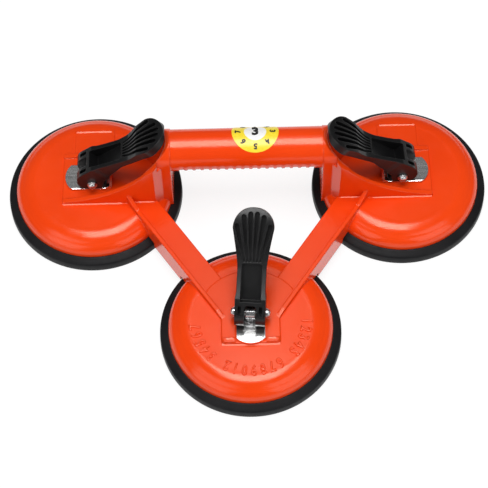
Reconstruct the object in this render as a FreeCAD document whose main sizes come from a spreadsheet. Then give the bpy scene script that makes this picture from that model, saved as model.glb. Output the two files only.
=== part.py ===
"""Floor tile suction lifter with three cups, in millimetres.

One painted casting carries three cup covers, a round grip and two arms. Each cup has a
rubber pad, a steel core, a pull stud, a pivot pin with washers, a wear plate and a cam
lever. The levers are modelled open, as they lie when the cups hold nothing.

Frame: the origin lies on the ground at the middle of the object's outline, +X to the
right along the grip, +Y from the front cup towards the grip, +Z up. What belongs to one
cup is drawn in that cup's own frame, whose +X points where the open lever's tip lies.
"""
import FreeCAD, Part
import Sketcher
import math
import os
import sys

SIZES = (
    ("cup_spacing", 210, "left cup centre to right cup centre"),
    ("cup_setback", 110, "front cup centre to the line of the rear cups"),
    ("pad_radius", 60, "rubber pad, outside"),
    ("pad_side", 6.5, "height of the pad's side"),
    ("pad_hollow", 1.5, "depth of the hollow under the pad"),
    ("pad_land", 46, "radius where the pad's flat underside starts"),
    ("pad_web", 7.5, "top of the rubber inside the cover"),
    ("rim_seat", 9, "height of the cover's rim on the rubber"),
    ("dome_radius", 54.2, "cover, outside"),
    ("dome_wall", 3, "thickness of the cover"),
    ("dome_top", 21.5, "top of the cover's flat middle"),
    ("dome_flat", 38.5, "radius of the cover's flat middle"),
    ("crease_radius", 49, "radius of the crease between shoulder and rim roll"),
    ("crease_height", 18.2, "height of that crease"),
    ("seat_height", 23, "floor of the troughs and top of the front platform"),
    ("core_radius", 38, "steel core in the pad"),
    ("core_thickness", 2.5, "steel core in the pad"),
    ("core_sink", 1, "depth of the core's recess in the rubber"),
    ("core_gap", 0.4, "core to the edge of its recess"),
    ("plate_thickness", 2.2, "wear plate"),
    ("plate_width", 18.6, "wear plate"),
    ("plate_outer", 19.1, "wear plate, cup centre to its round end"),
    ("plate_bow", 3.8, "wear plate, depth of its round end"),
    ("plate_inner", 8.2, "wear plate, cup centre to the start of its curl"),
    ("curl_radius", 4, "wear plate's curled end, inside of the bend"),
    ("curl_angle", 50, "wear plate's curled end, degrees"),
    ("hub_radius", 5.7, "pivot to the cam's face that rests on the plate when open"),
    ("hub_rest", 6, "length of that face beyond the pivot"),
    ("cam_gap", 0.08, "cam to wear plate"),
    ("lift", 6.8, "travel of the pull stud"),
    ("swing", 141.3, "travel of a lever, degrees"),
    ("foot_length", 10.8, "pivot to the front edge of the lever's foot"),
    ("lever_length", 69.2, "pivot to the lever's tip"),
    ("lever_under", 6.3, "pivot to the lever's underside at the waist"),
    ("paddle_under", 8.7, "pivot to the paddle's underside"),
    ("lever_upper", 1.5, "pivot to the lever's upper side at the waist, below it"),
    ("paddle_upper", 2.4, "pivot to the paddle's upper side, below it"),
    ("fork_width", 19.8, "lever at the fork"),
    ("waist_width", 18.6, "lever at the waist"),
    ("paddle_width", 26.5, "lever at the paddle"),
    ("rail_width", 2.7, "side rails of the lever"),
    ("bridge_length", 2.4, "cross wall between the slot and the channel"),
    ("channel_end", 32.8, "pivot to the far end of the channel"),
    ("rim_band", 2.1, "band round the paddle outside its grooves"),
    ("channel_floor", 3.8, "pivot to the floor of the channel between the rails"),
    ("groove_floor", 5.2, "pivot to the floor of the paddle's grooves"),
    ("groove_count", 6, "grooves under the paddle"),
    ("slot_width", 7.3, "slot in the lever's fork"),
    ("slot_end", 6.5, "pivot to the slot's closed end"),
    ("pocket_width", 2.6, "core pocket in each prong"),
    ("stud_radius", 4.2, "pull stud"),
    ("stud_flat", 5.9, "pull stud across its flats"),
    ("flat_start", 17.5, "height where the stud's flats start"),
    ("stud_bore", 4.6, "radius of the holes for the stud"),
    ("flange_radius", 9, "foot of the pull stud"),
    ("flange_thickness", 1.6, "foot of the pull stud"),
    ("spigot_radius", 3, "riveted end of the pull stud in the core"),
    ("pin_radius", 2, "pivot pin"),
    ("pin_play", 0.05, "pivot pin in the lever, on the radius"),
    ("pin_head_radius", 2.8, "pivot pin's peened ends"),
    ("pin_head_height", 2, "pivot pin's peened ends"),
    ("washer_radius", 3.4, "pin washers"),
    ("washer_thickness", 0.9, "pin washers"),
    ("side_gap", 0.12, "lever to washer"),
    ("grip_radius", 13.9, "round grip"),
    ("grip_height", 55.5, "axis of the grip"),
    ("grip_length", 101.4, "grip between the two necks"),
    ("grip_waves", 17, "finger scallops under the grip"),
    ("wave_pitch", 5.4, "one scallop to the next"),
    ("wave_depth", 1.15, "scallops at the bottom of the grip"),
    ("tower_half", 19.6, "trough, half its outside width"),
    ("tower_outer", 20.7, "trough, cup centre to its outboard end"),
    ("tower_wall", 2.3, "wall of a trough at its rim"),
    ("wall_slope", 1, "a trough's floor, narrower on each side than its mouth"),
    ("neck_half", 14.4, "neck under the grip's end, half its width"),
    ("neck_length", 6.3, "neck under the grip's end"),
    ("neck_wall", 2.1, "wall between trough and grip at the rim"),
    ("rim_low", 23.4, "trough's rim at its outboard end"),
    ("sweep_out", 9, "cup centre to the middle of the rim's sweep"),
    ("sweep_height", 31.2, "rim's height there"),
    ("bend_out", 37.9, "cup centre to the upper end of the sweep"),
    ("bend_height", 55.1, "rim's height there"),
    ("trough_angle", 10, "lean of the trough's end wall, degrees"),
    ("trough_nose", 14, "length of the trough's round end"),
    ("arm_angle", 55.3, "arms against the grip, degrees"),
    ("arm_width", 17.2, "arm"),
    ("arm_top", 22.6, "top face of the arms"),
    ("arm_foot", 4.5, "lower edge of the arms' side walls"),
    ("arm_skin", 3, "top skin of the arms"),
    ("arm_wall", 2.6, "side walls of the arms"),
    ("rib_width", 2.7, "rib along the outer edge of each arm"),
    ("rib_height", 2, "rib above the arm's top face"),
    ("rib_climb", 6.5, "rise of the rib's end on the trough's wall"),
    ("rib_ramp", 12, "length of the rib's sloping ends"),
    ("platform_half", 19, "front platform, half its width"),
    ("platform_front", 18, "front platform, cup centre to its front edge"),
    ("platform_arc", 35, "front platform, radius of its rear edge"),
    ("stop_depth", 3.8, "stops beside the front wear plate"),
    ("stop_height", 1.1, "stops beside the front wear plate"),
    ("stop_gap", 0.6, "front wear plate to each stop"),
    ("block_width", 27, "raised rectangle on each rear cover"),
    ("block_reach", 39, "cup centre to that rectangle's far edge"),
    ("block_height", 0.4, "height of that rectangle"),
    ("clearance", 0.6, "arms to rubber pads"),
    ("label_radius", 15.6, "round label"),
    ("label_thickness", 0.15, "round label"),
    ("label_shift", 6, "label's centre, to the right of the middle"),
    ("label_angle", 19, "label's centre, behind the top of the grip, degrees"),
    ("left_angle", 0.5, "left lever with its stud, turned about the upright, degrees"),
    ("right_angle", 2.5, "right lever with its stud, turned about the upright, degrees"),
    ("front_angle", -4.7, "front lever with its stud, turned about the upright, degrees"),
)

doc = FreeCAD.newDocument("tile_lifter")
sheet = doc.addObject("Spreadsheet::Sheet", "sizes")
for row, (alias, number, meaning) in enumerate(SIZES, start=1):
    sheet.set(f"A{row}", meaning)
    sheet.set(f"B{row}", str(number))
    sheet.setAlias(f"B{row}", alias)
doc.recompute()


def size(alias):
    """A driving size from the sheet."""
    return float(sheet.get(alias))


# Places worked out from the driving sizes
CUPS = (
    ("left", -size("cup_spacing") / 2, size("cup_setback") / 2, 0),
    ("right", size("cup_spacing") / 2, size("cup_setback") / 2, 180),
    ("front", 0, -size("cup_setback") / 2, 90),
)
TWISTS = {"left": size("left_angle"), "right": size("right_angle"), "front": size("front_angle")}
PLATE_TOP = "(sizes.seat_height + sizes.plate_thickness)"
PIVOT = "(sizes.seat_height + sizes.plate_thickness + sizes.cam_gap + sizes.hub_radius)"
pivot_z = size("seat_height") + size("plate_thickness") + size("cam_gap") + size("hub_radius")
core_bottom = size("pad_web") - size("core_sink")
core_top = core_bottom + size("core_thickness")
neck_end = (size("cup_spacing") - size("grip_length")) / 2
BEYOND = 30


def vector(x, y, z=0):
    return FreeCAD.Vector(x, y, z)


def cup_placement(x, y, turn):
    return FreeCAD.Placement(vector(x, y), FreeCAD.Rotation(vector(0, 0, 1), turn))


def new_body(name, placement=None):
    body = doc.addObject("PartDesign::Body", name)
    body.Label = name
    if placement:
        body.Placement = placement
    return body


def new_sketch(body, name, role, lift=None):
    """A sketch on one of the body's origin planes, raised by an expression if given."""
    sketch = body.newObject("Sketcher::SketchObject", name)
    plane = [item for item in body.Origin.OriginFeatures if item.Role == role]
    sketch.AttachmentSupport = [(plane[0], "")]
    sketch.MapMode = "FlatFace"
    if lift:
        sketch.setExpression(".AttachmentOffset.Base.z", lift)
    return sketch


def draw(sketch, start, *steps, close=True):
    """An outline that closes itself: a step is a point for a line, (through, end) for an arc."""
    here = start
    for step in steps:
        if isinstance(step[0], tuple):
            through, end = step
            sketch.addGeometry(Part.Arc(vector(*here), vector(*through), vector(*end)))
        else:
            end = step
            sketch.addGeometry(Part.LineSegment(vector(*here), vector(*end)))
        here = end
    if close and math.dist(here, start) > 1e-6:
        sketch.addGeometry(Part.LineSegment(vector(*here), vector(*start)))


def draw_circle(sketch, radius, x=0, y=0):
    """A circle whose radius follows an expression."""
    shape = Part.Circle(vector(x, y), vector(0, 0, 1), 1)
    index = sketch.addGeometry(shape)
    number = sketch.addConstraint(Sketcher.Constraint("Radius", index, 1.0))
    sketch.setExpression(f"Constraints[{number}]", radius)


def pad(body, sketch, length, symmetric=False):
    feature = body.newObject("PartDesign::Pad", sketch.Name + "_pad")
    feature.Profile = sketch
    feature.SideType = "Symmetric" if symmetric else "One side"
    feature.setExpression("Length", length)
    return feature


def pocket(body, sketch, length, symmetric=False, reverse=False):
    """A cut along the sketch's normal, backwards unless reversed."""
    feature = body.newObject("PartDesign::Pocket", sketch.Name + "_pocket")
    feature.Profile = sketch
    feature.SideType = "Symmetric" if symmetric else "One side"
    feature.Reversed = reverse
    feature.setExpression("Length", length)
    return feature


def revolve(name, placement, start, *steps):
    """A body turned about its own Z axis from an outline of (radius, height) points."""
    body = new_body(name, placement)
    sketch = new_sketch(body, name + "_outline", "XZ_Plane")
    draw(sketch, start, *steps)
    feature = body.newObject("PartDesign::Revolution", name + "_turn")
    feature.Profile = sketch
    feature.ReferenceAxis = (sketch, ["V_Axis"])
    feature.Angle = 360
    return body


def cylinder(name, radius, height, bottom, x=0, y=0):
    """An upright cylinder whose sizes are expressions."""
    item = doc.addObject("Part::Cylinder", name)
    item.setExpression("Radius", radius)
    item.setExpression("Height", height)
    item.Placement.Base = vector(x, y)
    item.setExpression(".Placement.Base.z", bottom)
    return item


def boolean(kind, name, first, others):
    """A Part boolean: a cut of others from first, or a union or common of them all."""
    item = doc.addObject("Part::" + kind, name)
    if kind == "Cut":
        item.Base = first
        item.Tool = others
    else:
        item.Shapes = [first] + others
    item.Label = name
    return item


# Rubber pads with their steel cores
def rubber_pad(cup, place):
    radius = size("pad_radius")
    seat = size("rim_seat")
    dome = size("dome_radius")
    inside = dome - size("dome_wall")
    recess = size("core_radius") + size("core_gap")
    land = size("pad_land")
    hollow = size("pad_hollow")
    side = size("pad_side")
    return revolve(
        f"rubber_pad_{cup}", place,
        (0, hollow),
        (land / 2, 0.8 * hollow),
        (land, 0),
        (radius - 0.5, 0),
        (radius, 0.5),
        (radius - 0.2, side),
        (radius - 1.4, side + 1),
        (dome + 0.5, seat),
        (inside - 1, seat),
        (inside - 2.4, size("pad_web")),
        (recess, size("pad_web")),
        (recess, core_bottom),
        (0, core_bottom),
    )


def pad_core(cup, place):
    return revolve(
        f"pad_core_{cup}", place,
        (size("spigot_radius"), core_bottom),
        (size("core_radius"), core_bottom),
        (size("core_radius"), core_top),
        (size("spigot_radius"), core_top),
    )


# Pull studs: riveted foot, round shank, flats and the eye for the pin
def pull_stud(cup, place):
    radius = size("stud_radius")
    flange = core_top + size("flange_thickness")
    body = revolve(
        f"pull_stud_{cup}", place,
        (0, core_bottom),
        (size("spigot_radius"), core_bottom),
        (size("spigot_radius"), core_top),
        (size("flange_radius"), core_top),
        (size("flange_radius"), flange),
        (radius + 1, flange),
        (radius, flange + 1),
        (radius, size("flat_start")),
        (0, size("flat_start")),
    )
    half = size("stud_flat") / 2
    run = math.sqrt(radius ** 2 - half ** 2)
    shank = new_sketch(body, f"stud_shank_{cup}", "XY_Plane", "sizes.flat_start")
    draw(shank, (-run, -half), (run, -half), ((radius, 0), (run, half)), (-run, half),
         ((-radius, 0), (-run, -half)))
    pad(body, shank, f"{PIVOT} - sizes.flat_start")
    eye = new_sketch(body, f"stud_eye_{cup}", "XZ_Plane")
    draw_circle(eye, "sizes.stud_radius", 0, pivot_z)
    pad(body, eye, "sizes.stud_flat", symmetric=True)
    hole = new_sketch(body, f"stud_hole_{cup}", "XZ_Plane")
    draw_circle(hole, "sizes.pin_radius", 0, pivot_z)
    pocket(body, hole, "sizes.stud_flat * 2", symmetric=True)
    return body


# Pivot pins with peened ends, and the washers under those ends
def across(place):
    """The frame whose Z axis runs along the cup's pivot."""
    turn = FreeCAD.Placement(vector(0, 0, pivot_z), FreeCAD.Rotation(vector(1, 0, 0), 90))
    return place.multiply(turn)


def washer_face():
    return size("fork_width") / 2 + size("side_gap")


def pivot_pin(cup, place):
    shaft = size("pin_radius")
    head = size("pin_head_radius")
    inner = washer_face() + size("washer_thickness")
    outer = inner + size("pin_head_height")
    cheek = inner + size("pin_head_height") / 3
    crown = (head * 0.78, outer - size("pin_head_height") * 0.22)
    tip = head * 0.25
    return revolve(
        f"pivot_pin_{cup}", across(place),
        (0, -outer),
        (tip, -outer),
        ((crown[0], -crown[1]), (head, -cheek)),
        (head, -inner),
        (shaft, -inner),
        (shaft, inner),
        (head, inner),
        (head, cheek),
        (crown, (tip, outer)),
        (0, outer),
    )


def pin_washers(cup, place):
    rings = []
    near = washer_face()
    far = near + size("washer_thickness")
    for side, sign in (("a", -1), ("b", 1)):
        rings.append(revolve(
            f"washer_{side}_{cup}", across(place),
            (size("pin_radius"), sign * near),
            (size("washer_radius"), sign * near),
            (size("washer_radius"), sign * far),
            (size("pin_radius"), sign * far),
        ))
    pair = doc.addObject("Part::Compound", f"pin_washers_{cup}")
    pair.Label = f"pin_washers_{cup}"
    pair.Links = rings
    return pair


# Wear plates: flat strip with a round outer end and a curled inner end
def wear_plate(cup, place):
    half = size("plate_width") / 2
    outer = size("plate_outer")
    inner = size("plate_inner")
    shoulder = outer - size("plate_bow")
    body = new_body(f"wear_plate_{cup}", place)
    flat = new_sketch(body, f"plate_flat_{cup}", "XY_Plane", "sizes.seat_height")
    draw(flat, (-shoulder, half), ((-outer, 0), (-shoulder, -half)), (inner, -half), (inner, half))
    pad(body, flat, "sizes.plate_thickness")
    bottom = size("seat_height")
    top = bottom + size("plate_thickness")
    bend = size("curl_radius")
    outside = bend + size("plate_thickness")
    full = math.radians(size("curl_angle"))
    middle = full / 2
    centre = top + bend

    def on_bend(radius, angle):
        return (inner + radius * math.sin(angle), centre - radius * math.cos(angle))

    curl = new_sketch(body, f"plate_curl_{cup}", "XZ_Plane")
    draw(curl, (inner, bottom), (on_bend(outside, middle), on_bend(outside, full)),
         on_bend(bend, full), (on_bend(bend, middle), (inner, top)))
    pad(body, curl, "sizes.plate_width", symmetric=True)
    hole = new_sketch(body, f"plate_hole_{cup}", "XY_Plane", PLATE_TOP)
    draw_circle(hole, "sizes.stud_bore")
    pocket(body, hole, "sizes.plate_thickness")
    return body


# Levers, drawn shut: their own X runs to the tip, Z up, and the pivot at the origin
def cam_outline():
    """Points of the cam, an involute that lifts the pivot in step with the lever's turn."""
    rate = size("lift") / math.radians(size("swing"))
    points = []
    steps = 8
    for step in range(steps + 1):
        turned = math.radians(size("swing")) * step / steps
        angle = math.radians(270 - size("swing")) + turned
        radius = size("hub_radius") + rate * turned
        points.append((radius * math.cos(angle) - rate * math.sin(angle),
                       radius * math.sin(angle) + rate * math.cos(angle)))
    return points


def open_lever(place):
    """The frame of an open lever: turned back over the pivot by its whole swing."""
    swing = math.radians(size("swing"))
    along = vector(-math.cos(swing), 0, math.sin(swing))
    upright = vector(math.sin(swing), 0, math.cos(swing))
    turn = FreeCAD.Rotation(along, vector(0, -1, 0), upright, "ZXY")
    return place.multiply(FreeCAD.Placement(vector(0, 0, pivot_z), turn))


def lever_side(body, cup):
    """The lever's side view: cam, foot, underside, tip and upper side."""
    cam = cam_outline()
    foot = size("hub_radius") + size("lift")
    tip = size("lever_length")
    under = size("lever_under")
    paddle = size("paddle_under")
    upper = size("lever_upper")
    crown = size("paddle_upper")
    rest = math.radians(270 - size("swing"))
    heel = (size("hub_radius") * math.cos(rest) + size("hub_rest") * math.sin(rest),
            size("hub_radius") * math.sin(rest) - size("hub_rest") * math.cos(rest))
    front = (size("foot_length"), -foot)
    sketch = new_sketch(body, f"lever_side_{cup}", "XZ_Plane")
    curve = Part.BSplineCurve()
    curve.interpolate([vector(*point) for point in reversed(cam)])
    sketch.addGeometry(curve)
    draw(
        sketch, cam[-1],
        front,
        ((0.27 * tip, -under - 3.7), (0.43 * tip, -under - 0.9)),
        ((0.5 * tip, -under - 0.2), (0.56 * tip, -under)),
        ((0.63 * tip, -under - 1), (0.69 * tip, -paddle + 0.2)),
        ((0.78 * tip, -paddle), (0.86 * tip, -paddle + 0.3)),
        ((0.96 * tip, -paddle + 1.9), (tip, -(paddle + crown) / 2)),
        ((0.99 * tip, -crown - 0.9), (0.95 * tip, -crown)),
        ((0.76 * tip, -crown + 0.2), (0.55 * tip, -upper)),
        (0.4 * tip, -upper),
        (0.2 * tip, upper + 0.3),
        (0.12 * tip, upper + 1.1),
        heel,
        cam[0],
        close=False,
    )
    pad(body, sketch, "sizes.paddle_width + 2", symmetric=True)


def lever_plan(body, cup):
    """What is cut off beside the lever: fork, waist and paddle as seen from above."""
    fork = size("fork_width") / 2
    waist = size("waist_width") / 2
    paddle = size("paddle_width") / 2
    tip = size("lever_length")
    round_start = tip - paddle
    shoulder = size("foot_length") + 1
    sketch = new_sketch(body, f"lever_plan_{cup}", "XY_Plane")
    rear = -BEYOND
    for sign in (-1, 1):
        draw(
            sketch, (rear, sign * fork),
            (shoulder, sign * fork),
            (shoulder + 3, sign * waist),
            (0.44 * tip, sign * waist),
            ((0.62 * tip, sign * (waist + paddle) * 0.487), (round_start, sign * paddle)),
            ((round_start + 0.8 * paddle, sign * 0.6 * paddle), (tip, sign * 0.01)),
            (tip + BEYOND, sign * 0.01),
            (tip + BEYOND, sign * 2 * paddle),
            (rear, sign * 2 * paddle),
        )
    pocket(body, sketch, "2 * sizes.lever_length", symmetric=True)


def lever_slot(body, cup):
    """The slot between the prongs and the bore for the pin."""
    half = size("slot_width") / 2
    slot = new_sketch(body, f"lever_slot_{cup}", "XY_Plane")
    end = size("slot_end")
    draw(slot, (-BEYOND, -half), (end - 1, -half), (end, 1 - half), (end, half - 1),
         (end - 1, half), (-BEYOND, half))
    pocket(body, slot, "2 * sizes.lever_length", symmetric=True)
    bore = new_sketch(body, f"lever_bore_{cup}", "XZ_Plane")
    draw_circle(bore, "sizes.pin_radius + sizes.pin_play")
    pocket(body, bore, "2 * sizes.paddle_width", symmetric=True)


def lever_hollows(body, cup):
    """The channel between the rails, the paddle's fan of grooves and the prongs' pockets."""
    tip = size("lever_length")
    rail = size("rail_width")
    inside = size("waist_width") / 2 - rail
    start = size("slot_end") + size("bridge_length")
    end = size("channel_end")
    depth = "sizes.lever_length"
    channel = new_sketch(body, f"lever_channel_{cup}", "XY_Plane", "-sizes.channel_floor")
    draw(channel, (start, -inside), (end - 1, -inside), (end, 1 - inside), (end, inside - 1),
         (end - 1, inside), (start, inside))
    pocket(body, channel, depth)
    count = int(size("groove_count"))
    paddle = size("paddle_width") / 2
    round_start = tip - paddle
    edge = paddle - size("rim_band")
    pitch = 2 * edge / (count - 0.75)
    fan = new_sketch(body, f"lever_grooves_{cup}", "XY_Plane", "-sizes.groove_floor")
    for number in range(count):
        lane = number - (count - 1) / 2
        far = lane * pitch
        reach = round_start + math.sqrt(edge ** 2 - far ** 2) - 0.4
        near = far * 0.47
        thin = 0.17 * pitch
        wide = 0.36 * pitch
        draw(fan, (end + 1, near - thin), (reach - wide, far - wide),
             ((reach, far), (reach - wide, far + wide)), (end + 1, near + thin))
    pocket(body, fan, depth)
    prongs = new_sketch(body, f"lever_pockets_{cup}", "XY_Plane", "-sizes.lever_under - 1")
    middle = (size("fork_width") + size("slot_width")) / 4
    half = size("pocket_width") / 2
    end = size("slot_end") - 0.4
    for sign in (-1, 1):
        side = sign * middle
        draw(prongs, (0, side - half), (end, side - half), (end, side + half), (0, side + half))
    pocket(body, prongs, depth)


def lever(cup, place):
    body = new_body(f"lever_{cup}", open_lever(place))
    lever_side(body, cup)
    lever_plan(body, cup)
    lever_slot(body, cup)
    lever_hollows(body, cup)
    return body


# The casting's cup covers
def cover(cup, place):
    """A cover as if it were solid: rim, rim roll, crease, shoulder and flat middle."""
    radius = size("dome_radius")
    seat = size("rim_seat")
    crease = (size("crease_radius"), size("crease_height"))
    flat = size("dome_flat")
    top = size("dome_top")
    shoulder = (flat + 0.66 * (crease[0] - flat), top - (top - crease[1]) / 3)
    return revolve(
        f"cover_{cup}", place,
        (0, seat),
        (radius, seat),
        (radius, seat + 1.1),
        ((radius - 1, seat + 5.3), crease),
        (shoulder, (flat, top - 0.1)),
        (0, top),
    )


def cavity(cup, place):
    """The room inside a cover, one wall thickness within it."""
    wall = size("dome_wall")
    radius = size("dome_radius") - wall
    seat = size("rim_seat")
    top = size("dome_top") - wall
    crease = size("crease_radius")
    return revolve(
        f"cavity_{cup}", place,
        (0, seat - 1),
        (radius, seat - 1),
        (radius, seat + 2),
        (crease - 1.8, size("crease_height") - wall),
        (crease - 6, top - 0.6),
        (size("dome_flat") - 2, top),
        (0, top),
    )


# The casting's troughs, whose necks carry the grip
def trough_end(u, half):
    """The trough's outline at one height: open outboard, round at the grip."""
    nose = size("trough_nose")
    outboard = -size("tower_outer") - 2
    return ((outboard, -half), (u - nose, -half), ((u, 0), (u - nose, half)), (outboard, half))


def tower(cup, place):
    half = size("tower_half")
    neck = size("neck_half")
    outer = size("tower_outer")
    seat = size("seat_height")
    top = size("grip_height") + neck
    neck_start = neck_end - size("neck_length")
    corner = neck_start - (half - neck)
    body = new_body(f"tower_{cup}", place)
    plan = new_sketch(body, f"tower_plan_{cup}", "XY_Plane", "sizes.rim_seat + 0.6")
    draw(plan, (-outer, -half), (corner, -half), (neck_start, -neck), (neck_end, -neck),
         (neck_end, neck), (neck_start, neck), (corner, half), (-outer, half))
    pad(body, plan, "sizes.grip_height + sizes.neck_half - sizes.rim_seat")

    first = (-outer, size("rim_low"))
    sweep = (size("sweep_out"), size("sweep_height"))
    bend = (size("bend_out"), size("bend_height"))
    last = (neck_end, top)
    rim = new_sketch(body, f"tower_rim_{cup}", "XZ_Plane")
    draw(rim, first, (sweep, bend), last, (neck_end + 1, top), (neck_end + 1, top + 2),
         (-outer - 1, top + 2), (-outer - 1, first[1]))
    pocket(body, rim, "2 * sizes.tower_half + 4", symmetric=True)

    crest = size("grip_height")
    saddle = new_sketch(body, f"tower_saddle_{cup}", "YZ_Plane",
                        f"{neck_start - (half - neck) / 2}")
    draw(saddle, (neck, crest), (half + 1, crest), (half + 1, crest + BEYOND),
         (-half - 1, crest + BEYOND), (-half - 1, crest), (-neck, crest),
         ((0, crest + neck), (neck, crest)))
    pocket(body, saddle, "sizes.neck_length * 3", reverse=True)

    inner = half - size("tower_wall")
    rim_end = neck_end - size("neck_wall")
    drawn_back = (top - seat) * math.tan(math.radians(size("trough_angle")))
    low = new_sketch(body, f"trough_low_{cup}", "XY_Plane", "sizes.seat_height")
    draw(low, *trough_end(rim_end - drawn_back, inner - size("wall_slope")))
    high = new_sketch(body, f"trough_high_{cup}", "XY_Plane",
                      "sizes.grip_height + sizes.neck_half + 1")
    draw(high, *trough_end(rim_end, inner))
    hollow = body.newObject("PartDesign::SubtractiveLoft", f"trough_{cup}")
    hollow.Profile = low
    hollow.Sections = [high]
    hollow.Ruled = True
    return body


# The casting's arms, drawn along their own X from the front platform to a trough
def arm():
    turn = 180 - size("arm_angle")
    place = FreeCAD.Placement(
        vector(-size("platform_half"), -size("cup_setback") / 2),
        FreeCAD.Rotation(vector(0, 0, 1), turn))
    rise = math.sin(math.radians(turn))
    lean = -math.cos(math.radians(turn))
    width = size("arm_width")
    wall = size("arm_wall")
    reach = size("cup_setback") - size("tower_half") + size("tower_wall") / 2
    outer_end = reach / rise
    inner_end = (reach - width * lean) / rise
    body = new_body("arm_left", place)
    plan = new_sketch(body, "arm_plan", "XY_Plane", "sizes.arm_foot")
    draw(plan, (0, 0), (outer_end, 0), (inner_end, -width), (-width / 2, -width))
    pad(body, plan, "sizes.arm_top - sizes.arm_foot")
    channel = new_sketch(body, "arm_channel", "XY_Plane", "sizes.arm_foot")
    draw(channel, (wall, -wall), (outer_end - 3 * wall, -wall),
         (inner_end - 3 * wall, wall - width), (wall, wall - width))
    pocket(body, channel, "sizes.arm_top - sizes.arm_foot - sizes.arm_skin", reverse=True)
    top = size("arm_top")
    rib_top = top + size("rib_height")
    ramp = size("rib_ramp")
    rib = new_sketch(body, "arm_rib", "XZ_Plane")
    draw(rib, (0, top - 1), (outer_end, top - 1), (outer_end, rib_top + size("rib_climb")),
         (outer_end - ramp, rib_top), (ramp / 2, rib_top), (0, size("seat_height")))
    pad(body, rib, "sizes.rib_width")
    return body


# The front platform with its two stops, and the raised rectangles of the rear covers
def front_platform(place):
    half = size("platform_half")
    front = size("platform_front")
    arc = size("platform_arc")
    slope = math.radians(size("arm_angle"))
    ahead = half * math.cos(slope)
    run = -ahead + math.sqrt(ahead ** 2 + arc ** 2 - half ** 2)
    u = run * math.sin(slope)
    v = half + run * math.cos(slope)
    body = new_body("front_platform", place)
    plan = new_sketch(body, "platform_plan", "XY_Plane", "sizes.dome_top - 1")
    draw(plan, (-front + 2.5, -half), (0, -half), (u, -v), ((arc, 0), (u, v)), (0, half),
         (-front + 2.5, half), ((-front + 0.7, half - 0.7), (-front, half - 2.5)),
         (-front, 2.5 - half), ((-front + 0.7, 0.7 - half), (-front + 2.5, -half)))
    pad(body, plan, "sizes.seat_height - sizes.dome_top + 1")
    inner = size("plate_width") / 2 + size("stop_gap")
    stops = new_sketch(body, "platform_stops", "XY_Plane", "sizes.seat_height")
    for sign in (-1, 1):
        draw(stops, (-front + 0.6, sign * inner), (-front + 0.6, sign * (half - 2.4)),
             ((-front + 1.2, sign * (half - 1.2)), (-front + 2.6, sign * (half - 0.8))),
             (-front + size("stop_depth"), sign * (half - 0.8)),
             (-front + size("stop_depth"), sign * inner))
    pad(body, stops, "sizes.stop_height")
    return body


def raised_block(cup, x, y):
    width = size("block_width")
    near = size("tower_half") - 1
    body = new_body(f"block_{cup}", FreeCAD.Placement(vector(x, y), FreeCAD.Rotation()))
    plan = new_sketch(body, f"block_plan_{cup}", "XY_Plane", "sizes.dome_top - 1")
    far = size("block_reach")
    draw(plan, (-width / 2, near), (width / 2, near), (width / 2, far), (-width / 2, far))
    pad(body, plan, "sizes.block_height + 1")
    return body


# The round grip and the comb that scallops its underside for the fingers
def grip():
    bar = doc.addObject("Part::Cylinder", "grip")
    bar.setExpression("Radius", "sizes.grip_radius")
    bar.setExpression("Height", "sizes.grip_length + sizes.neck_wall")
    bar.Placement.Rotation = FreeCAD.Rotation(vector(0, 1, 0), 90)
    bar.setExpression(".Placement.Base.x", "-(sizes.grip_length + sizes.neck_wall) / 2")
    bar.setExpression(".Placement.Base.y", "sizes.cup_setback / 2")
    bar.setExpression(".Placement.Base.z", "sizes.grip_height")
    return bar


def grip_comb():
    """Rings round an axis above the grip's own, so that they only bite on its underside."""
    depth = size("wave_depth")
    valley = size("grip_radius")
    ridge = valley + depth + 0.1
    pitch = size("wave_pitch")
    count = int(size("grip_waves"))
    start = -count * pitch / 2
    flat = pitch / 4
    steps = []
    for number in range(count):
        middle = start + (number + 0.5) * pitch
        steps += [(valley, middle - flat), (valley, middle + flat), (ridge, middle + pitch / 2)]
    centre = vector(0, size("cup_setback") / 2, size("grip_height") + depth)
    along = FreeCAD.Placement(centre, FreeCAD.Rotation(vector(0, 1, 0), 90))
    return revolve("grip_comb", along, (ridge, start), *steps, (ridge + pitch, -start),
                   (ridge + pitch, start))


def casting():
    """Covers, troughs, arms, platform and grip joined, then cored and bored."""
    covers, cavities, bores, towers, blocks, floors = [], [], [], [], [], []
    for cup, x, y, turn in CUPS:
        place = cup_placement(x, y, turn)
        covers.append(cover(cup, place))
        cavities.append(cavity(cup, place))
        bores.append(cylinder(f"bore_{cup}", "sizes.stud_bore", "sizes.seat_height",
                              "sizes.rim_seat", x, y))
        floors.append(cylinder(f"pad_room_{cup}", "sizes.pad_radius + sizes.clearance",
                               "sizes.rim_seat + sizes.clearance", "0 mm", x, y))
        if cup == "front":
            platform = front_platform(place)
        else:
            towers.append(tower(cup, place))
            blocks.append(raised_block(cup, x, y))
    arm_left = arm()
    arm_right = doc.addObject("Part::Mirroring", "arm_right")
    arm_right.Source = arm_left
    arm_right.Normal = vector(1, 0, 0)
    room = boolean("MultiFuse", "pad_room", floors[0], floors[1:])
    arms = boolean("Cut", "arms", boolean("MultiFuse", "arm_pair", arm_left, [arm_right]), room)
    handle = boolean("Cut", "handle", grip(), grip_comb())
    outside = boolean("MultiFuse", "casting_outside", covers[0],
                      covers[1:] + towers + blocks + [arms, platform, handle])
    inside = boolean("MultiFuse", "casting_inside", cavities[0], cavities[1:] + bores)
    whole = boolean("Cut", "lifter_casting", outside, inside)
    whole.Refine = True
    return whole


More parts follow.
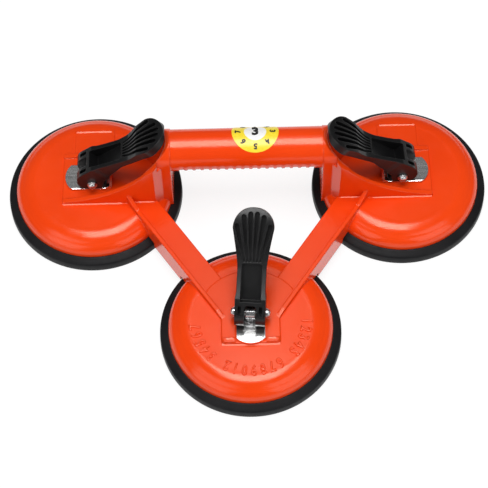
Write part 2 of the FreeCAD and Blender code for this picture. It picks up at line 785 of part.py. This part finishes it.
# The round sticker, wrapped on the grip as a disc of even radius along the surface
def grip_label():
    radius = size("grip_radius")
    reach = size("label_radius")
    thickness = size("label_thickness")
    points = []
    count = 24
    for step in range(count):
        angle = 2 * math.pi * step / count
        wrapped = reach * math.sin(angle) / radius
        points.append(vector(reach * math.cos(angle), radius * math.sin(wrapped)))
    outline = Part.BSplineCurve()
    outline.interpolate(Points=points, PeriodicFlag=True)
    punch = Part.Face(Part.Wire(outline.toShape())).extrude(vector(0, 0, 2 * radius))
    start = vector(-reach - 1, 0, 0)
    length = 2 * reach + 2
    outer = Part.makeCylinder(radius + thickness, length, start, vector(1, 0, 0))
    inner = Part.makeCylinder(radius, length, start, vector(1, 0, 0))
    label = doc.addObject("Part::Feature", "grip_label")
    label.Label = "grip_label"
    label.Shape = outer.cut(inner).common(punch)
    label.Placement = FreeCAD.Placement(
        vector(size("label_shift"), size("cup_setback") / 2, size("grip_height")),
        FreeCAD.Rotation(vector(1, 0, 0), -size("label_angle")))
    return label


NODES = []
for cup, x, y, turn in CUPS:
    fixed = cup_placement(x, y, turn)
    twisted = cup_placement(x, y, turn + TWISTS[cup])
    for maker in (rubber_pad, wear_plate):
        NODES.append(maker(cup, fixed))
    for maker in (pad_core, pull_stud, pivot_pin, pin_washers, lever):
        NODES.append(maker(cup, twisted))
NODES.append(casting())
NODES.append(grip_label())

doc.recompute()
broken = []
for item in doc.Objects:
    if "Invalid" in item.State or "Error" in item.State:
        broken.append(item.Name)
for item in NODES:
    if item.Shape.isNull() or not item.Shape.isValid():
        broken.append(item.Name)
if broken:
    sys.exit("failed: " + ", ".join(broken))

os.makedirs("parts", exist_ok=True)
for item in NODES:
    item.Shape.exportStep(f"parts/{item.Label}.step")
    print(f"{item.Label}: {len(item.Shape.Solids)} solids, {item.Shape.Volume:.1f} mm3")
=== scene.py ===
"""Looks of a floor tile suction lifter with three cups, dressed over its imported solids.

The casting is painted in a glossy orange red. Under each cup cover sits a round rubber
pad, and on top of it a black cam lever turns on a steel pin over a polished wear plate.
Lengths are in millimetres up to the floor, light and camera, which are in metres.
"""

import math

import bpy
from mathutils import Matrix, Vector


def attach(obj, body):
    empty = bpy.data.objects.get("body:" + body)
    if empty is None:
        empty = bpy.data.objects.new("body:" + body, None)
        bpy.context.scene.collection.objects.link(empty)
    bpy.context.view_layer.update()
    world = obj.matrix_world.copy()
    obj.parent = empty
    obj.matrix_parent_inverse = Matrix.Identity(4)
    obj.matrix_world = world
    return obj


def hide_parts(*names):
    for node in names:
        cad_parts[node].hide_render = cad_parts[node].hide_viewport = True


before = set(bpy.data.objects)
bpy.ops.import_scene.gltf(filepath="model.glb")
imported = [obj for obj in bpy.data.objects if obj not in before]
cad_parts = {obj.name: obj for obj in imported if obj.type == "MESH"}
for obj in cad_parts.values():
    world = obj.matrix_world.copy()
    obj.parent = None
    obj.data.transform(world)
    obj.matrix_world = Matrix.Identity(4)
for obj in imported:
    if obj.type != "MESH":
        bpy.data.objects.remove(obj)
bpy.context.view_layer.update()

MM = 0.001

# The middle of each cup, from above
CUPS = {"left": (-105, 55), "right": (105, 55), "front": (0, -55)}
FRONT_Y = CUPS["front"][1]

# Sticker: its middle on the grip, its curve, and the grip's own line
LABEL_SHIFT = 6
LABEL_ANGLE = math.radians(19)
LABEL_SKIN = 14.05
LABEL_DISC = 7.2
LABEL_DISC_EDGE = 0.3
GRIP_Y = 55
GRIP_HEIGHT = 55.5

# Places of the colour mix node's sockets, which share their names
MIX_FACTOR = 0
MIX_FIRST = 6
MIX_SECOND = 7
MIX_RESULT = 2


# Materials
def new_material(name):
    """An empty material and its shader, ready to be wired."""
    material = bpy.data.materials.new(name)
    material.use_nodes = True
    tree = material.node_tree
    return material, tree, tree.nodes["Principled BSDF"]


def node(tree, kind, **settings):
    """A node of a material, with its own settings."""
    made = tree.nodes.new(kind)
    for name, value in settings.items():
        setattr(made, name, value)
    return made


def object_place(tree, stretch=(1, 1, 1)):
    """Object coordinates, stretched along the piece's own axes."""
    coordinates = node(tree, "ShaderNodeTexCoord")
    mapping = node(tree, "ShaderNodeMapping")
    mapping.inputs["Scale"].default_value = stretch
    tree.links.new(coordinates.outputs["Object"], mapping.inputs["Vector"])
    return mapping.outputs["Vector"]


def noise(tree, place, scale, detail=2):
    """A cloudy pattern at so many waves to the metre."""
    made = node(tree, "ShaderNodeTexNoise")
    made.inputs["Scale"].default_value = scale
    made.inputs["Detail"].default_value = detail
    tree.links.new(place, made.inputs["Vector"])
    return made.outputs["Fac"]


def spread(tree, factor, low, high, low_out, high_out):
    """A pattern's values from low to high, turned into values from low_out to high_out."""
    made = node(tree, "ShaderNodeMapRange")
    made.inputs["From Min"].default_value = low
    made.inputs["From Max"].default_value = high
    made.inputs["To Min"].default_value = low_out
    made.inputs["To Max"].default_value = high_out
    tree.links.new(factor, made.inputs["Value"])
    return made.outputs["Result"]


def patches(tree, place, scale, detail, low=0, high=1, margin=0.3):
    """A cloudy pattern that drifts from one value to another and rests at both."""
    clouds = noise(tree, place, scale, detail)
    return spread(tree, clouds, margin, 1 - margin, low, high)


def two_tones(tree, factor, first, second):
    """A colour that goes with a pattern from one tone, or wired colour, to another."""
    made = node(tree, "ShaderNodeMix", data_type="RGBA")
    tree.links.new(factor, made.inputs[MIX_FACTOR])
    for place, tone in ((MIX_FIRST, first), (MIX_SECOND, second)):
        if isinstance(tone, tuple):
            made.inputs[place].default_value = (*tone, 1)
        else:
            tree.links.new(tone, made.inputs[place])
    return made.outputs[MIX_RESULT]


def reckon(tree, operation, first, second=None):
    """One step of arithmetic on patterns or plain numbers."""
    made = node(tree, "ShaderNodeMath", operation=operation)
    for socket, value in zip(made.inputs, (first, second)):
        if value is None:
            continue
        if isinstance(value, (int, float)):
            socket.default_value = value
        else:
            tree.links.new(value, socket)
    return made.outputs["Value"]


def relief(tree, height, depth, strength, under=None):
    """A bump so many millimetres deep, laid over another normal where one is given."""
    made = node(tree, "ShaderNodeBump")
    made.inputs["Distance"].default_value = depth * MM
    made.inputs["Strength"].default_value = strength
    tree.links.new(height, made.inputs["Height"])
    if under is not None:
        tree.links.new(under, made.inputs["Normal"])
    return made.outputs["Normal"]


def soft_edges(tree, radius):
    """A normal that rounds the piece's edges as a cast or moulded edge is."""
    made = node(tree, "ShaderNodeBevel", samples=6)
    made.inputs["Radius"].default_value = radius * MM
    return made.outputs["Normal"]


def lay_on(tree, shader, colour, roughness, normal=None):
    """Gives a shader its colour, its roughness and, where there is one, its relief."""
    tree.links.new(colour, shader.inputs["Base Color"])
    tree.links.new(roughness, shader.inputs["Roughness"])
    if normal is not None:
        tree.links.new(normal, shader.inputs["Normal"])


def casting_paint(name, edge):
    """Glossy powder paint with a fine orange peel, over edges rounded by so much."""
    material, tree, shader = new_material(name)
    place = object_place(tree)
    clouds = patches(tree, place, 22, 3, margin=0.35)
    colour = two_tones(tree, clouds, (0.84, 0.050, 0.002), (0.88, 0.058, 0.004))
    haze = patches(tree, place, 140, 4, 0.16, 0.24)
    peel = relief(tree, noise(tree, place, 420), 0.05, 0.5, soft_edges(tree, edge))
    lay_on(tree, shader, colour, haze, peel)
    shader.inputs["Specular Tint"].default_value = (1, 0.88, 0.72, 1)
    return material


def pad_rubber():
    """Charcoal rubber, matt, with the fine grain of its mould."""
    material, tree, shader = new_material("pad_rubber")
    place = object_place(tree)
    clouds = patches(tree, place, 45, 4)
    colour = two_tones(tree, clouds, (0.008, 0.008, 0.009), (0.013, 0.013, 0.014))
    haze = patches(tree, place, 260, 3, 0.4, 0.52)
    grain = relief(tree, noise(tree, place, 2600), 0.03, 0.6)
    lay_on(tree, shader, colour, haze, grain)
    shader.inputs["Specular IOR Level"].default_value = 0.12
    return material


def lever_plastic():
    """Black moulded plastic with a satin skin."""
    material, tree, shader = new_material("lever_plastic")
    place = object_place(tree)
    clouds = patches(tree, place, 60, 3)
    colour = two_tones(tree, clouds, (0.0042, 0.0042, 0.0045), (0.0065, 0.0065, 0.007))
    haze = patches(tree, place, 300, 3, 0.3, 0.4)
    grain = relief(tree, noise(tree, place, 1800), 0.02, 0.5, soft_edges(tree, 0.5))
    lay_on(tree, shader, colour, haze, grain)
    shader.inputs["Specular IOR Level"].default_value = 0.36
    return material


def polished_steel():
    """Bright strip steel with fine rolling lines."""
    material, tree, shader = new_material("polished_steel")
    shader.inputs["Metallic"].default_value = 1
    clouds = patches(tree, object_place(tree), 90, 3)
    colour = two_tones(tree, clouds, (0.78, 0.78, 0.78), (0.88, 0.88, 0.87))
    lines = noise(tree, object_place(tree, (60, 2600, 60)), 1, 3)
    haze = spread(tree, lines, 0.3, 0.7, 0.12, 0.24)
    rolled = relief(tree, lines, 0.01, 0.4, soft_edges(tree, 0.3))
    lay_on(tree, shader, colour, haze, rolled)
    return material


def plain_steel():
    """Turned steel of the pins, washers, studs and cores."""
    material, tree, shader = new_material("plain_steel")
    shader.inputs["Metallic"].default_value = 1
    place = object_place(tree)
    clouds = patches(tree, place, 500, 3)
    colour = two_tones(tree, clouds, (0.5, 0.5, 0.51), (0.62, 0.62, 0.62))
    haze = patches(tree, place, 900, 3, 0.22, 0.36)
    lay_on(tree, shader, colour, haze, soft_edges(tree, 0.3))
    return material


def label_print():
    """Glossy film: a yellow ring round a white disc, measured along the curved film."""
    material, tree, shader = new_material("label_print")
    place = object_place(tree)
    parts = node(tree, "ShaderNodeSeparateXYZ")
    tree.links.new(place, parts.inputs["Vector"])
    along = reckon(tree, "SUBTRACT", parts.outputs["X"], LABEL_SHIFT * MM)
    behind = reckon(tree, "SUBTRACT", parts.outputs["Y"], GRIP_Y * MM)
    above = reckon(tree, "SUBTRACT", parts.outputs["Z"], GRIP_HEIGHT * MM)
    turn = reckon(tree, "ARCTAN2", behind, above)
    turn_from_middle = reckon(tree, "SUBTRACT", turn, LABEL_ANGLE)
    round_way = reckon(tree, "MULTIPLY", turn_from_middle, LABEL_SKIN * MM)
    along_squared = reckon(tree, "MULTIPLY", along, along)
    round_squared = reckon(tree, "MULTIPLY", round_way, round_way)
    squares = reckon(tree, "ADD", along_squared, round_squared)
    reach = reckon(tree, "SQRT", squares)
    disc_end = LABEL_DISC + LABEL_DISC_EDGE
    ring = spread(tree, reach, LABEL_DISC * MM, disc_end * MM, 0, 1)
    clouds = patches(tree, place, 400, 3)
    yellow = two_tones(tree, clouds, (0.93, 0.70, 0.03), (0.96, 0.76, 0.05))
    colour = two_tones(tree, ring, (0.9, 0.9, 0.89), yellow)
    lay_on(tree, shader, colour, patches(tree, place, 700, 2, 0.26, 0.34))
    return material


def label_ink():
    """Matt black printing ink."""
    material, tree, shader = new_material("label_ink")
    place = object_place(tree)
    clouds = patches(tree, place, 800, 3)
    colour = two_tones(tree, clouds, (0.008, 0.008, 0.008), (0.016, 0.015, 0.013))
    lay_on(tree, shader, colour, patches(tree, place, 900, 2, 0.4, 0.55))
    return material


paint = casting_paint("casting_paint", 1.1)
fine_paint = casting_paint("figure_paint", 0.35)
rubber = pad_rubber()
plastic = lever_plastic()
bright_steel = polished_steel()
steel = plain_steel()
sticker = label_print()
ink = label_ink()


# Modelling by hand
def start_piece():
    """Leaves edit mode and drops every selection, so that a new piece starts alone."""
    if bpy.context.object and bpy.context.object.mode != "OBJECT":
        bpy.ops.object.mode_set(mode="OBJECT")
    bpy.ops.object.select_all(action="DESELECT")


def name_piece(name):
    """The piece at hand, under its own name."""
    piece = bpy.context.active_object
    piece.name = name
    piece.data.name = name
    return piece


def settle_piece():
    """Puts the piece's place, turn and size into its mesh."""
    bpy.ops.object.transform_apply(location=True, rotation=True, scale=True)


def select_edges(piece, wanted):
    """Selects, in edit mode, the edges whose two ends pass a test."""
    bpy.ops.object.mode_set(mode="EDIT")
    bpy.ops.mesh.select_mode(type="EDGE")
    bpy.ops.mesh.select_all(action="DESELECT")
    bpy.ops.object.mode_set(mode="OBJECT")
    points = piece.data.vertices
    for edge in piece.data.edges:
        one, other = edge.vertices
        edge.select = wanted(points[one].co, points[other].co)
    bpy.ops.object.mode_set(mode="EDIT")


def close_mesh():
    """Merges doubles, turns the faces outward and leaves edit mode."""
    bpy.ops.mesh.select_all(action="SELECT")
    bpy.ops.mesh.remove_doubles(threshold=0.001 * MM)
    bpy.ops.mesh.normals_make_consistent(inside=False)
    bpy.ops.object.mode_set(mode="OBJECT")


def cap_hole():
    """Closes the ring of edges that is selected with a fan of faces."""
    bpy.ops.mesh.edge_face_add()
    bpy.ops.mesh.poke()


def joined(name, pieces):
    """One piece out of many."""
    start_piece()
    for piece in pieces:
        piece.select_set(True)
    bpy.context.view_layer.objects.active = pieces[0]
    bpy.ops.object.join()
    whole = name_piece(name)
    bpy.ops.object.mode_set(mode="EDIT")
    close_mesh()
    return whole


def wear_material(piece, material):
    """Gives a piece or a solid one material all over."""
    piece.data.materials.clear()
    piece.data.materials.append(material)


def finish_piece(piece, material, body):
    """Gives a modelled piece its material and its body."""
    wear_material(piece, material)
    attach(piece, body)


# Rubber pads: radius and height, from the middle of the hollow underside, round the lip
# and in over the web
PAD_OUTLINE = (
    (4, 1.46), (23, 1.15), (40, 0.36), (45.6, 0.05), (46.6, 0.0), (58.9, 0.0),
    (59.5, 0.12), (59.9, 0.5), (60.0, 1.0), (59.93, 3.4), (59.8, 5.9), (59.65, 6.55),
    (59.3, 7.05), (58.8, 7.35), (57.0, 8.05), (55.6, 8.62), (55.0, 8.9), (54.4, 9.0),
    (50.2, 9.0), (48.8, 7.5), (38.4, 7.5), (38.4, 6.52), (4, 6.52),
)
PAD_STEPS = 192
SMOOTH_BELOW = math.radians(35)


def turned(name, middle, outline, steps):
    """A closed body of rotation: a ring drawn up and out, point by point."""
    start_piece()
    x, y = middle
    first_radius, first_height = outline[0]
    bpy.ops.mesh.primitive_circle_add(
        vertices=steps, radius=first_radius * MM, fill_type="NOTHING",
        location=(x * MM, y * MM, first_height * MM))
    piece = name_piece(name)
    bpy.ops.object.mode_set(mode="EDIT")
    bpy.ops.mesh.select_all(action="SELECT")
    for (radius, height), (next_radius, next_height) in zip(outline, outline[1:]):
        bpy.ops.mesh.extrude_region_move(
            TRANSFORM_OT_translate={"value": (0, 0, (next_height - height) * MM)})
        share = next_radius / radius
        bpy.ops.transform.resize(
            value=(share, share, 1),
            center_override=(x * MM, y * MM, next_height * MM))
    cap_hole()
    bpy.ops.mesh.select_all(action="DESELECT")
    bpy.ops.mesh.select_non_manifold()
    cap_hole()
    close_mesh()
    settle_piece()
    bpy.ops.object.shade_smooth_by_angle(angle=SMOOTH_BELOW)
    return piece


for cup, middle in CUPS.items():
    pad = turned(f"turned_pad_{cup}", middle, PAD_OUTLINE, PAD_STEPS)
    finish_piece(pad, rubber, "frame")
    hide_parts(f"rubber_pad_{cup}")

# A figure of Blender's own font is this share of the font's size high
FONT_SHARE = 0.73


def raised_text(word, spot, sideways, upward, *, height, narrowness, boldness,
                thickness, rounding):
    """Solid figures lying at a spot, in the plane that two directions give."""
    start_piece()
    outward = sideways.cross(upward)
    turn = Matrix((sideways, upward, outward)).transposed().to_euler()
    bpy.ops.object.text_add(location=Vector(spot) * MM, rotation=turn)
    writing = bpy.context.active_object
    writing.data.body = word
    writing.data.size = height / FONT_SHARE * MM
    writing.data.align_x = "CENTER"
    writing.data.align_y = "CENTER"
    writing.data.resolution_u = 5
    writing.data.offset = boldness * MM
    writing.data.extrude = (thickness / 2 - rounding) * MM
    writing.data.bevel_depth = rounding * MM
    writing.data.bevel_resolution = 2
    writing.scale.x = narrowness
    bpy.ops.object.convert(target="MESH")
    settle_piece()
    return writing


# Raised figures round the front cup's cover, with their tops outward
COVER_FIGURES = "12345 6789012 34567"
COVER_RING = 36.4
COVER_START = 86
COVER_END = -82
COVER_HEIGHT = 21.35

figures = []
for number, figure in enumerate(COVER_FIGURES):
    if figure == " ":
        continue
    share = number / (len(COVER_FIGURES) - 1)
    angle = math.radians(COVER_START + share * (COVER_END - COVER_START))
    outward = Vector((math.sin(angle), -math.cos(angle), 0))
    sideways = Vector((-math.cos(angle), -math.sin(angle), 0))
    spot = (COVER_RING * outward.x, FRONT_Y + COVER_RING * outward.y, COVER_HEIGHT)
    figures.append(raised_text(
        figure, spot, sideways, outward, height=7.3, narrowness=0.72, boldness=-0.22,
        thickness=2, rounding=0.6))
cover_figures = joined("cover_figures", figures)
finish_piece(cover_figures, fine_paint, "frame")


# Plain figures printed on the sticker: a ring of eight and one in the middle
LABEL_RING = 11.3
LABEL_COUNT = 8


def sticker_figure(word, ring, bearing, height, boldness, thickness):
    """A figure on the curved film, so far from the sticker's middle at a bearing."""
    angle = math.radians(bearing)
    over = LABEL_ANGLE + ring * math.sin(angle) / LABEL_SKIN
    outward = Vector((0, math.sin(over), math.cos(over)))
    backward = Vector((0, math.cos(over), -math.sin(over)))
    across = Vector((1, 0, 0))
    upward = math.cos(angle) * across + math.sin(angle) * backward
    sideways = math.sin(angle) * across - math.cos(angle) * backward
    spot = (LABEL_SHIFT + ring * math.cos(angle), GRIP_Y + LABEL_SKIN * outward.y,
            GRIP_HEIGHT + LABEL_SKIN * outward.z)
    return raised_text(
        word, spot, sideways, upward, height=height, narrowness=1, boldness=boldness,
        thickness=thickness, rounding=0)


prints = [
    sticker_figure(str(number + 1), LABEL_RING, 90 - 360 / LABEL_COUNT * number,
                   3.7, 0.24, 0.26)
    for number in range(LABEL_COUNT)]
prints.append(sticker_figure("3", 0, 90, 7.5, 0.34, 0.5))
label_figures = joined("label_figures", prints)
finish_piece(label_figures, ink, "frame")


# Narrow slopes at the feet of the walls, on the stops and along the wear plates
SLOPE = 0.29
SLOPE_BURIED = 0.5
SLOPE_CORNER = 0.25
PLATE_TOP = 25.2
PLATE_REACH = 0.6

# How far a slope runs on behind its wall, its material and its slot in the record
SLOPE_FINISHES = {
    "paint": (0.6, fine_paint, "painted_casting"),
    "steel": (0.05, bright_steel, "polished_steel"),
}


def foot_slope(name, left, right, wall, foot, reach, finish):
    """A strip that falls gently towards the front, from a wall at one place along Y."""
    behind, material, slot = SLOPE_FINISHES[finish]
    rise = SLOPE * (reach + behind)
    start_piece()
    bpy.ops.mesh.primitive_cube_add(
        size=1,
        location=((left + right) / 2 * MM, (wall + (behind - reach) / 2) * MM,
                  (foot + (rise - SLOPE_BURIED) / 2) * MM),
        scale=((right - left) * MM, (reach + behind) * MM, (rise + SLOPE_BURIED) * MM))
    strip = name_piece(name)
    settle_piece()

    def front_top(one, other):
        return (min(one.z, other.z) > foot * MM
                and max(one.y, other.y) < (wall - reach / 2) * MM)

    def sloped_side(one, other):
        return (abs(one.y - other.y) > reach / 2 * MM
                and min(one.z, other.z) > (foot - 0.1) * MM)

    select_edges(strip, front_top)
    bpy.ops.transform.translate(value=(0, 0, -rise * MM))
    select_edges(strip, sloped_side)
    bpy.ops.mesh.bevel(offset=SLOPE_CORNER * MM, segments=2)
    close_mesh()
    finish_piece(strip, material, "frame")


foot_slope("platform_foot", -19.2, 19.2, FRONT_Y - 18, 21.48, 1.2, "paint")

# Pairs, the same left and right: inner end, outer end, wall, foot, reach and finish
SLOPE_PAIRS = (
    ("stop_edge", 11, 16.6, FRONT_Y - 15.2, 24.08, 0.8, "paint"),
    ("trough_foot", 85, 125.5, 35.4, 21.48, 1.0, "paint"),
    ("plate_edge", 96, 119.4, 45.72, PLATE_TOP - SLOPE * PLATE_REACH, PLATE_REACH, "steel"),
    ("arm_foot", 63, 75, 35.3, 22.58, 0.7, "paint"),
    ("block_edge", 93.2, 118.3, 93.3, 21.88, 0.7, "paint"),
)
for name, inner, outer, wall, foot, reach, finish in SLOPE_PAIRS:
    foot_slope(f"{name}_left", -outer, -inner, wall, foot, reach, finish)
    foot_slope(f"{name}_right", inner, outer, wall, foot, reach, finish)

# Finish of the solids that come with the frame
wear_material(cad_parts["lifter_casting"], paint)
wear_material(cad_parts["grip_label"], sticker)
CUP_FINISHES = {
    "wear_plate": bright_steel,
    "lever": plastic,
    "rubber_pad": rubber,
    "pivot_pin": steel,
    "pin_washers": steel,
    "pull_stud": steel,
    "pad_core": steel,
}
for part, material in CUP_FINISHES.items():
    for cup in CUPS:
        wear_material(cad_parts[f"{part}_{cup}"], material)


# Floor, light and camera
FLOOR_SIZE = 12
FLOOR_GLOW = 0.84
WORLD_LEVEL = 0.12


def floor_white():
    """Plain white floor that still takes the lifter's shadow."""
    material = bpy.data.materials.new("floor_white")
    material.use_nodes = True
    tree = material.node_tree
    tree.nodes.clear()
    path = node(tree, "ShaderNodeLightPath")
    seen = reckon(tree, "MAXIMUM", path.outputs["Is Camera Ray"],
                  path.outputs["Is Glossy Ray"])
    seen = reckon(tree, "MAXIMUM", seen, path.outputs["Is Transmission Ray"])
    cloth = node(tree, "ShaderNodeBsdfDiffuse")
    shade = two_tones(tree, seen, (0.75, 0.75, 0.75), (0.2, 0.2, 0.2))
    tree.links.new(shade, cloth.inputs["Color"])
    glow = node(tree, "ShaderNodeEmission")
    tree.links.new(reckon(tree, "MULTIPLY", seen, FLOOR_GLOW), glow.inputs["Strength"])
    both = node(tree, "ShaderNodeAddShader")
    tree.links.new(cloth.outputs["BSDF"], both.inputs[0])
    tree.links.new(glow.outputs["Emission"], both.inputs[1])
    out = node(tree, "ShaderNodeOutputMaterial")
    tree.links.new(both.outputs["Shader"], out.inputs["Surface"])
    return material


bpy.ops.mesh.primitive_plane_add(size=FLOOR_SIZE, location=(0, 0, 0))
floor = name_piece("floor")
floor.data.materials.append(floor_white())

world = bpy.data.worlds.new("studio")
bpy.context.scene.world = world
world.use_nodes = True
air = world.node_tree.nodes["Background"]
air.inputs["Color"].default_value = (1, 1, 1, 1)
air.inputs["Strength"].default_value = WORLD_LEVEL

# Lamps: place, the point they face, width, depth and watts
LAMPS = {
    "top_lamp": ((0, 0.03, 1.5), (0, 0.05, 0), 0.72, 0.84, 16.5),
    "plate_card": ((0, 0.49, 1.45), (0, 0.05, 0), 0.1, 0.06, 0.25),
    "back_card": ((0, 0.67, 1.32), (0, -0.05, 0), 0.34, 0.24, 0.3),
    "left_lamp": ((-0.95, -0.95, 0.75), (0, 0, 0), 1.1, 1.2, 7),
    "right_lamp": ((0.95, -0.95, 0.75), (0, 0, 0), 1.1, 1.2, 7),
}
for name, (place, aim, width, depth, watts) in LAMPS.items():
    lamp = bpy.data.lights.new(name, "AREA")
    lamp.shape = "RECTANGLE"
    lamp.size = width
    lamp.size_y = depth
    lamp.energy = watts
    holder = bpy.data.objects.new(name, lamp)
    bpy.context.scene.collection.objects.link(holder)
    holder.location = place
    towards = Vector(aim) - Vector(place)
    holder.rotation_euler = towards.to_track_quat("-Z", "Y").to_euler()

# Camera, at the photograph's viewing angle
CAMERA_PLACE = Vector((-0.0037, -0.50195, 0.9117))
CAMERA_TURN = math.radians(-0.07)
CAMERA_RISE = math.radians(60.53)
CAMERA_ROLL = math.radians(-1.30)
FOCAL_PIXELS = 1529
IMAGE_PIXELS = 488

back = Vector((
    math.sin(CAMERA_TURN) * math.cos(CAMERA_RISE),
    -math.cos(CAMERA_TURN) * math.cos(CAMERA_RISE),
    math.sin(CAMERA_RISE),
))
level_right = Vector((0, 0, 1)).cross(back).normalized()
level_up = back.cross(level_right)
right = math.cos(CAMERA_ROLL) * level_right + math.sin(CAMERA_ROLL) * level_up
up = back.cross(right)
camera = bpy.data.objects.new("camera", bpy.data.cameras.new("camera"))
bpy.context.scene.collection.objects.link(camera)
camera.matrix_world = Matrix((
    (right.x, up.x, back.x, CAMERA_PLACE.x),
    (right.y, up.y, back.y, CAMERA_PLACE.y),
    (right.z, up.z, back.z, CAMERA_PLACE.z),
    (0, 0, 0, 1),
))
camera.data.lens = FOCAL_PIXELS / IMAGE_PIXELS * camera.data.sensor_width
camera.data.clip_start = 0.05
camera.data.clip_end = 30
bpy.context.scene.camera = camera
bpy.context.scene.view_settings.view_transform = "Standard"
